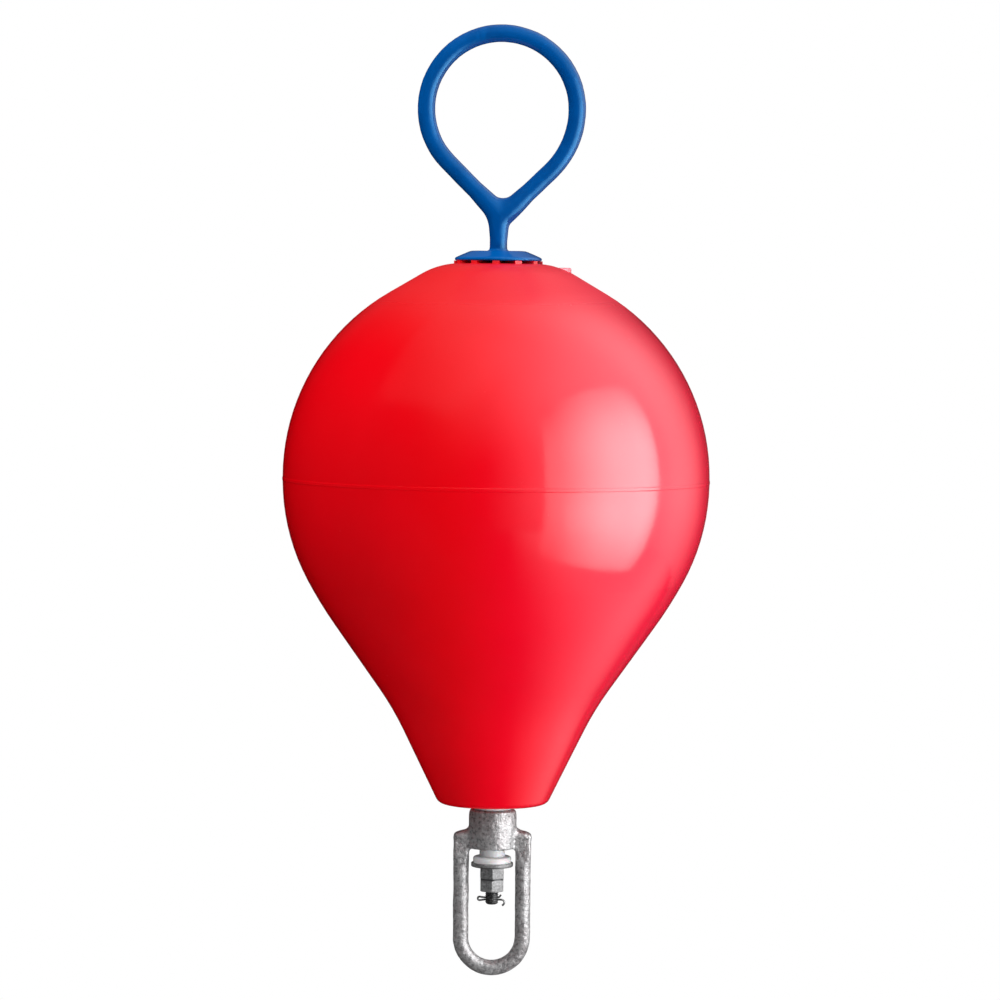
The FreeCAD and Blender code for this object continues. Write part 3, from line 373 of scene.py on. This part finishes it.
def makeZinc(name, look):
    # hot-dip zinc: mottled greys, dark flecks, pale bloom and small pits
    f = Finish(name, IOR=1.5)
    grain = look["grain"]
    patches = f.noise(grain * zinc["patches"], 4.0, 0.65, twist=0.4)
    flecks = f.noise(grain, 3.0, 0.6)
    tone = f.mix(f.ramp(patches, *zinc["mottled"]), look["mid"], look["light"])
    tone = f.mix(f.ramp(flecks, *zinc["flecked"], 0.0, look["flecked"]), tone, look["dark"])
    bloom = f.ramp(f.noise(grain, 4.0, 0.7), *zinc["bloomed"])
    tone = f.mix(bloom * zinc["blooming"], tone, look["bloom"])
    hollows = f.ramp(f.cells(grain * zinc["cells"]), *zinc["hollow"])
    clusters = f.ramp(f.noise(grain * zinc["clusters"], 3.0), *zinc["clustered"])
    pits = hollows * clusters * look["pitted"]
    tone = f.mix(pits, tone, look["pitAndCreviceShade"])
    # painted shade: the line where two parts meet is darkened to the pit colour, as shade in the crevice
    for shadedJoint in look["joints"]:
        tone = f.mix(f.ramp(abs(f.part("Z") - shadedJoint), *zinc["paintedShadeSeam"]), tone, look["pitAndCreviceShade"])
    roughness = look["rough"] + zinc["fleckRough"] * (flecks - 0.5) + zinc["bloomRough"] * bloom
    f.feed(Base_Color=tone, Metallic=look["metal"] * (1 - zinc["bloomDulls"] * bloom), Roughness=roughness,
           Normal=f.bump((flecks + patches - pits) * look["height"], 1.0))
    return f.material


nylonLook = {
    "pale": colour(212, 210, 212), "deep": colour(197, 196, 198), "grime": colour(150, 150, 148),
    "cloud": 0.02, "drift": (0.3, 0.7), "stain": 0.004, "stained": (0.58, 0.75), "dirt": 0.35,
    "turning": 700.0, "turnedHeight": 0.00002, "grain": 0.0012, "grainHeight": 0.00003,
    "rough": 0.52, "stainRough": 0.15,
}


def makeNylon():
    look = nylonLook
    f = Finish("paleNylon", IOR=1.53, Subsurface_Weight=0.2, Subsurface_Scale=0.003)
    shade = f.mix(f.ramp(f.noise(look["cloud"], 3.0), *look["drift"]), look["pale"], look["deep"])
    grime = f.ramp(f.noise(look["stain"], 4.0, 0.7), *look["stained"])
    shade = f.mix(grime * look["dirt"], shade, look["grime"])
    # fine rings from the lathe
    turned = f.node("ShaderNodeTexWave", {"bands_direction": "Z"},
                    {"Vector": f.place, "Scale": look["turning"]}, "Fac")
    height = turned * look["turnedHeight"] + f.noise(look["grain"], 2.0) * look["grainHeight"]
    f.feed(Base_Color=shade, Roughness=look["rough"] + look["stainRough"] * grime,
           Normal=f.bump(height, 1.0))
    return f.material


studLook = {
    "dark": (0.045, 0.045, 0.046, 1.0), "light": (0.12, 0.12, 0.122, 1.0), "rust": (0.12, 0.075, 0.05, 1.0),
    "mottle": 0.0016, "mottled": (0.35, 0.7), "stain": 0.003, "stained": (0.55, 0.72), "rusting": 0.5,
    "metal": 0.75, "rustDulls": 0.5, "rough": 0.42, "rustRough": 0.3, "grain": 0.001,
    "grainHeight": 0.0001,
}


def makeDarkSteel():
    look = studLook
    f = Finish("darkSteel")
    rust = f.ramp(f.noise(look["stain"], 5.0, 0.7), *look["stained"])
    shade = f.mix(f.ramp(f.noise(look["mottle"], 4.0), *look["mottled"]), look["dark"], look["light"])
    shade = f.mix(rust * look["rusting"], shade, look["rust"])
    f.feed(Base_Color=shade, Metallic=look["metal"] - look["rustDulls"] * rust,
           Roughness=look["rough"] + look["rustRough"] * rust,
           Normal=f.bump(f.noise(look["grain"], 3.0), look["grainHeight"]))
    return f.material


pinLook = {
    "dark": (0.10, 0.10, 0.102, 1.0), "light": (0.38, 0.38, 0.385, 1.0), "mottle": 0.003,
    "mottled": (0.35, 0.7), "drawn": 0.0008, "rough": 0.22, "drawnRough": 0.25, "drawnHeight": 0.00005,
}


def makePinSteel():
    look = pinLook
    f = Finish("brightPin", Metallic=1.0)
    drawn = f.noise(look["drawn"], 3.0, 0.6)
    shade = f.mix(f.ramp(f.noise(look["mottle"], 3.0), *look["mottled"]), look["dark"], look["light"])
    f.feed(Base_Color=shade, Roughness=look["rough"] + look["drawnRough"] * drawn,
           Normal=f.bump(drawn, look["drawnHeight"]))
    return f.material


redVinyl = makeRedVinyl()
paleValve = makePaleValve()
blueCoat = makeBlueCoat()
forgedZinc = makeZinc("forgedZinc", forgedLook)
plainZinc = makeZinc("plainZinc", plainLook)
paleNylon = makeNylon()
darkSteel = makeDarkSteel()
brightPin = makePinSteel()

finishes = {
    "float": redVinyl, "valve_plug": paleValve, "upper_bushing": paleNylon, "lower_bushing": paleNylon,
    "washer": plainZinc, "nut": plainZinc, "lock_nut": plainZinc, "split_pin": brightPin,
    "flange": blueCoat, "eye_rod": blueCoat, "swivel_eye": forgedZinc,
}
for node, material in finishes.items():
    nodes[node].data.materials.clear()
    nodes[node].data.materials.append(material)
print("frame dressed")


def around(place, reach, hold):
    # weight that is full near a place and fades to nothing at hold times the reach
    return lambda p: hold - (p - place).length / reach


# eye, stem and flange under one thick dipped coat
eye = {
    "grid": 0.0011, "passes": 9, "cut": 0.002, "edge": 0.004, "lump": 0.016, "lumpHeight": 0.0004,
    "meniscus": 0.010, "meniscusHold": 1.6, "meniscusPasses": 14,
    "weldSide": 0.002, "weldRise": 0.0545, "weldReach": 0.017, "weldHold": 2.0, "weldSwell": 0.0026,
    "weldPasses": 170,
}
eyeBar = copyNode("eye_rod", "eyeBar")
trim(eyeBar, seat + eye["cut"], clear_inner=True)
coatedEye = join("coatedEye", copyNode("flange", "flangeCoat"), eyeBar)
modify(coatedEye, "REMESH", mode="VOXEL", voxel_size=eye["grid"])
foot = Vector((0, 0, flangeTop))
weigh(coatedEye, "foot", around(foot, eye["meniscus"], eye["meniscusHold"]))
smooth(coatedEye, eye["meniscusPasses"], "foot")
weld = Vector((eye["weldSide"], 0, seat + eye["weldRise"]))
weigh(coatedEye, "weld", around(weld, eye["weldReach"], eye["weldHold"]))
swell(coatedEye, eye["weldSwell"], "weld")
smooth(coatedEye, eye["weldPasses"], "weld")
smooth(coatedEye, eye["passes"])
weigh(coatedEye, "free", lambda p: (p.z - seat) / eye["edge"])
lumps(coatedEye, eye["lump"], eye["lumpHeight"], "free")
bpy.ops.object.shade_smooth()
dress(coatedEye, "buoy", blueCoat, "flange")


# forged swivel eye
forging = {
    "grid": 0.0008, "passes": 4, "boreWall": 0.01588, "skin": 0.002,
    "webOut": 0.0265, "webDrop": 0.0169, "webReach": 0.011, "webHold": 2.0, "webSwell": 0.0015,
    "webPasses": 60, "lump": 0.014, "lumpHeight": 0.0008, "grain": 0.0035, "grainHeight": 0.00018,
}
forgedSwivel = copyNode("swivel_eye", "forgedSwivel")
modify(forgedSwivel, "REMESH", mode="VOXEL", voxel_size=forging["grid"])
smooth(forgedSwivel, forging["passes"])
web = Vector((forging["webOut"], 0, sleeveTop - forging["webDrop"]))
onWeb = around(web, forging["webReach"], forging["webHold"])
weigh(forgedSwivel, "web", lambda p: onWeb(Vector((abs(p.x), p.y, p.z))))    # one on each side
swell(forgedSwivel, forging["webSwell"], "web")
smooth(forgedSwivel, forging["webPasses"], "web")
weigh(forgedSwivel, "skin", lambda p: (math.hypot(p.x, p.y) - forging["boreWall"]) / forging["skin"])
lumps(forgedSwivel, forging["lump"], forging["lumpHeight"], "skin")
lumps(forgedSwivel, forging["grain"], forging["grainHeight"], "skin")
bpy.ops.object.shade_smooth()
dress(forgedSwivel, "swivel", forgedZinc, "swivel_eye")


# stud with a real thread below the nuts, its cross hole and worn tip
stud = {
    "pitch": 0.002, "crest": 0.0072, "core": 0.0062, "rib": 0.0011, "turns": 9, "steps": 40,
    "coreBelow": 0.001, "coreInNut": 0.004, "blankInNut": 0.002, "shankAbove": 0.0008,
    "grid": 0.0003, "passes": 2, "round": 0.0040, "roundSteps": 6, "smoothAngle": math.radians(35),
    "hole": 0.0021, "holeHalf": 0.02, "holeSides": 32, "pinDrop": 0.008,
}


def bar(name, radius, foot, top, sides=48):
    bpy.ops.mesh.primitive_cylinder_add(vertices=sides, radius=radius, depth=top - foot,
                                        location=(0, 0, (top + foot) / 2))
    return newest(name)


def makeRib():
    # a small triangle, screwed up the stud
    bpy.ops.mesh.primitive_circle_add(vertices=3, radius=stud["rib"], fill_type="NOTHING",
                                      location=(stud["crest"] - stud["rib"], 0, tip - stud["pitch"]),
                                      rotation=(math.radians(90), math.radians(90), 0))
    rib = newest("threadRib")
    settle(rib)
    modify(rib, "SCREW", screw_offset=stud["pitch"], iterations=stud["turns"], steps=stud["steps"],
           render_steps=stud["steps"], use_merge_vertices=True, merge_threshold=1e-6)
    editAll(rib, bpy.ops.mesh.fill_holes, sides=0)
    editAll(rib, bpy.ops.mesh.normals_make_consistent, inside=False)
    return rib


def makeBlank():
    # round-nosed bar that trims the end of the thread
    blank = bar("studBlank", stud["crest"], tip, nutFoot + stud["blankInNut"])
    settle(blank)
    bpy.ops.object.mode_set(mode="EDIT")
    bpy.ops.mesh.select_mode(type="FACE")
    bpy.ops.mesh.select_all(action="DESELECT")
    bpy.ops.object.mode_set(mode="OBJECT")
    for face in blank.data.polygons:
        face.select = face.normal.z < -0.9    # the end that faces down
    bpy.ops.object.mode_set(mode="EDIT")
    bpy.ops.mesh.bevel(offset=stud["round"], segments=stud["roundSteps"], affect="EDGES")
    bpy.ops.object.mode_set(mode="OBJECT")
    return blank


def makeDrill():
    drill = bar("pinDrill", stud["hole"], -stud["holeHalf"], stud["holeHalf"], stud["holeSides"])
    drill.rotation_euler = (0, math.radians(90), 0)
    drill.location = (0, 0, nutFoot - stud["pinDrop"])
    settle(drill)
    return drill


def cut(obj, tool, operation):
    modify(obj, "BOOLEAN", object=tool, operation=operation, solver="EXACT")
    bpy.data.objects.remove(tool)


rib = makeRib()
core = bar("threadCore", stud["core"], tip - stud["coreBelow"], nutFoot + stud["coreInNut"])
thread = join("thread", rib, core)
settle(thread)
modify(thread, "REMESH", mode="VOXEL", voxel_size=stud["grid"])
smooth(thread, stud["passes"])
cut(thread, makeBlank(), "INTERSECT")
cut(thread, makeDrill(), "DIFFERENCE")
shank = copyNode("eye_rod", "studShank")
trim(shank, seat + eye["cut"], clear_outer=True)
trim(shank, nutFoot + stud["shankAbove"], clear_inner=True)
threadedStud = join("threadedStud", thread, shank)
bpy.ops.object.shade_smooth_by_angle(angle=stud["smoothAngle"])
dress(threadedStud, "buoy", darkSteel, "eye_rod")


# split pin, pushed through and bent by hand
pin = {
    "wire": 0.00102, "gap": 0.00104, "level": nutFoot - stud["pinDrop"], "smoothAngle": math.radians(50),
    "upperTail": ((0.0096, 0.0040), (0.0090, 0.0028), (0.0076, 0.0012)), "upperLeg": (0.0040, -0.0070),
    "eye": ((-0.0105, 0.0015), (-0.0128, 0.0020), (-0.0146, 0.0012)), "lowerLeg": (-0.0070, 0.0040),
    "lowerTail": ((0.0090, -0.0011), (0.0120, -0.0014), (0.0134, -0.0034), (0.0130, -0.0058),
                  (0.0110, -0.0074)),
}
pinLine = [*pin["upperTail"]]
pinLine += [(x, pin["gap"]) for x in pin["upperLeg"]]
pinLine += pin["eye"]
pinLine += [(x, -z) for x, z in reversed(pin["eye"])]
pinLine += [(x, -pin["gap"]) for x in pin["lowerLeg"]]
pinLine += pin["lowerTail"]
bpy.ops.curve.primitive_nurbs_path_add()
wire = newest("pinWire")
wire.data.splines.clear()
spline = wire.data.splines.new("NURBS")
spline.points.add(len(pinLine) - 1)
for point, (x, z) in zip(spline.points, pinLine):
    point.co = (x, 0.0, pin["level"] + z, 1.0)
spline.order_u = 3
spline.use_endpoint_u = True
spline.resolution_u = 6
wire.data.bevel_depth = pin["wire"]
wire.data.bevel_resolution = 3
wire.data.use_fill_caps = True
pick(wire)
bpy.ops.object.convert(target="MESH")
bentPin = newest("bentPin")
bpy.ops.object.shade_smooth_by_angle(angle=pin["smoothAngle"])
dress(bentPin, "buoy", brightPin, "split_pin")


# nuts and washer with the soft edges that zinc leaves
hardware = {
    "edge": 0.0005, "segments": 3, "angle": math.radians(24), "flat": math.radians(1),
    "smoothAngle": math.radians(35),
}
for node, name in (("nut", "softNut"), ("lock_nut", "softLockNut"), ("washer", "softWasher")):
    soft = copyNode(node, name)
    editAll(soft, bpy.ops.mesh.dissolve_limited, angle_limit=hardware["flat"])
    modify(soft, "BEVEL", width=hardware["edge"], segments=hardware["segments"], limit_method="ANGLE",
           angle_limit=hardware["angle"])
    bpy.ops.object.shade_smooth_by_angle(angle=hardware["smoothAngle"])
    dress(soft, "buoy", plainZinc, node)


# camera
shot = {"place": (0.0, -4.2, 0.2), "aside": 0.0043, "above": 0.00267, "lens": 145.2, "roll": 0.6}
middle = (cadBox[0] + cadBox[1]) / 2
aim = middle + Vector((shot["aside"], 0, shot["above"]))
bpy.ops.object.camera_add(location=shot["place"])
camera = newest("camera")
turn = (aim - camera.location).to_track_quat("-Z", "Y").to_matrix()
camera.rotation_euler = (turn @ Matrix.Rotation(math.radians(shot["roll"]), 3, "Z")).to_euler()
camera.data.lens = shot["lens"]
scene.camera = camera
print("camera set")


# floor, world, lamps and the boards that only gloss shows
class Glow(Finish):
    # shines and does nothing else
    def shine(self, strength):
        self.tree.nodes.remove(self.shader)
        self.surface(self.node("ShaderNodeEmission", None, {"Color": strength}))
        return self.material


def reflectedOnly(obj, material):
    settle(obj)
    obj.data.materials.append(material)
    obj.visible_camera = obj.visible_diffuse = obj.visible_shadow = False
    obj.visible_transmission = obj.visible_volume_scatter = False


def lamp(name, place, size, power):
    bpy.ops.object.light_add(type="AREA", location=place)
    light = newest(name)
    light.data.shape = "RECTANGLE"
    light.data.size, light.data.size_y = size
    light.data.energy = power
    light.rotation_euler = (-Vector(place)).to_track_quat("-Z", "Y").to_euler()
    light.visible_glossy = False
    light.visible_camera = False


# the buoy hangs well above the floor, which turns white further out
ground = {"level": cadBox[0].z - 0.3556, "size": 60.0, "tone": 0.55, "white": (1.2, 2.0)}
bpy.ops.mesh.primitive_plane_add(size=ground["size"], location=(0, 0, ground["level"]))
floor = newest("floor")
settle(floor)
f = Finish("paleFloor", Roughness=0.6, Base_Color=(ground["tone"],) * 3 + (1.0,))
away = f.node("ShaderNodeVectorMath", {"operation": "LENGTH"}, {0: f.place}, "Value")
amount = f.node("ShaderNodeMath", {"operation": "MULTIPLY", "use_clamp": True},
                {0: f.seen(), 1: f.ramp(away, *ground["white"])})
white = f.node("ShaderNodeEmission", None, {"Strength": 1.0})
f.surface(f.node("ShaderNodeMixShader", None, {0: amount, 1: Wire(f, f.shader.outputs[0]), 2: white}))
floor.data.materials.append(f.material)

daylight = 0.52
world = bpy.data.worlds.new("studio")
scene.world = world
sky = ShaderTree(world)
background = sky.tree.nodes["Background"]
sky.plug((1, 1, 1, 1), background.inputs["Color"])
sky.plug(sky.ramp(sky.seen(), 0.0, 1.0, daylight, 1.0), background.inputs["Strength"])
world.cycles.sampling_method = "NONE"    # gloss meets the tent below, and only the tent

lamps = {
    "topLamp": {"place": (-0.9, -0.8, 2.0), "size": (2.0, 2.0), "power": 43},
    "lowLamp": {"place": (1.5, -1.2, -0.45), "size": (1.0, 0.55), "power": 27},
}
for name, settings in lamps.items():
    lamp(name, **settings)

# a tent of cloth round the buoy, dark on the left and behind, bright on the right and above
tent = {
    "radius": 2.2, "right": (-0.3, 2.1), "back": (0.45, 1.95, 1.0, 0.04), "low": (-1.1, 0.0, 0.6, 1.0),
    "roof": (0.2, 2.0), "roofRight": (-1.6, 0.4), "roofBack": (0.2, 1.6, 1.0, 0.3), "bright": 2.4,
}
bpy.ops.mesh.primitive_uv_sphere_add(segments=48, ring_count=24, radius=tent["radius"])
g = Glow("tentCloth")
x, y, z = g.part("X"), g.part("Y"), g.part("Z")
side = g.ramp(x, *tent["right"]) * g.ramp(y, *tent["back"]) * g.ramp(z, *tent["low"])
roof = g.ramp(z, *tent["roof"]) * g.ramp(x, *tent["roofRight"]) * g.ramp(y, *tent["roofBack"])
reflectedOnly(newest("lightTent"), g.shine(side * tent["bright"] + roof))

# a lit sheet on the ground, which fades towards the back and the left
sheet = {"lift": 0.02, "slant": 0.6, "away": (-0.38, 0.57, 1.0, 0.07), "right": (0.1, 0.9, 0.0, 1.3)}
bpy.ops.mesh.primitive_circle_add(vertices=64, radius=tent["radius"], fill_type="NGON",
                                  location=(0, 0, ground["level"] + sheet["lift"]))
g = Glow("groundCloth")
x, y = g.part("X"), g.part("Y")
reflectedOnly(newest("groundSheet"),
              g.shine(g.ramp(x, *sheet["right"]) * g.ramp(y - sheet["slant"] * x, *sheet["away"])))

# the window of a softbox, which fades most towards its near side and its two ends
softbox = {
    "place": Vector((0.867, -0.574, 0.030)), "width": 1.326, "height": 1.675,
    "across": (-1.105, -0.4675, 3.2, 9.9), "far": (-0.25, -0.02, 1.0, 0.72), "ends": (0.2, 0.9, 1.0, 0.42),
}
bpy.ops.mesh.primitive_plane_add(size=1)
window = newest("softWindow")
window.scale = (softbox["width"], softbox["height"], 1)
settle(window)
window.location = softbox["place"]
window.rotation_euler = (-softbox["place"]).to_track_quat("Z", "Y").to_euler()
g = Glow("windowCloth")
y, rise = g.part("Y"), g.part("Z") - softbox["place"].z
reflectedOnly(window, g.shine(g.ramp(y, *softbox["across"]) * g.ramp(y, *softbox["far"])
                              * g.ramp(abs(rise), *softbox["ends"])))
print("studio set")
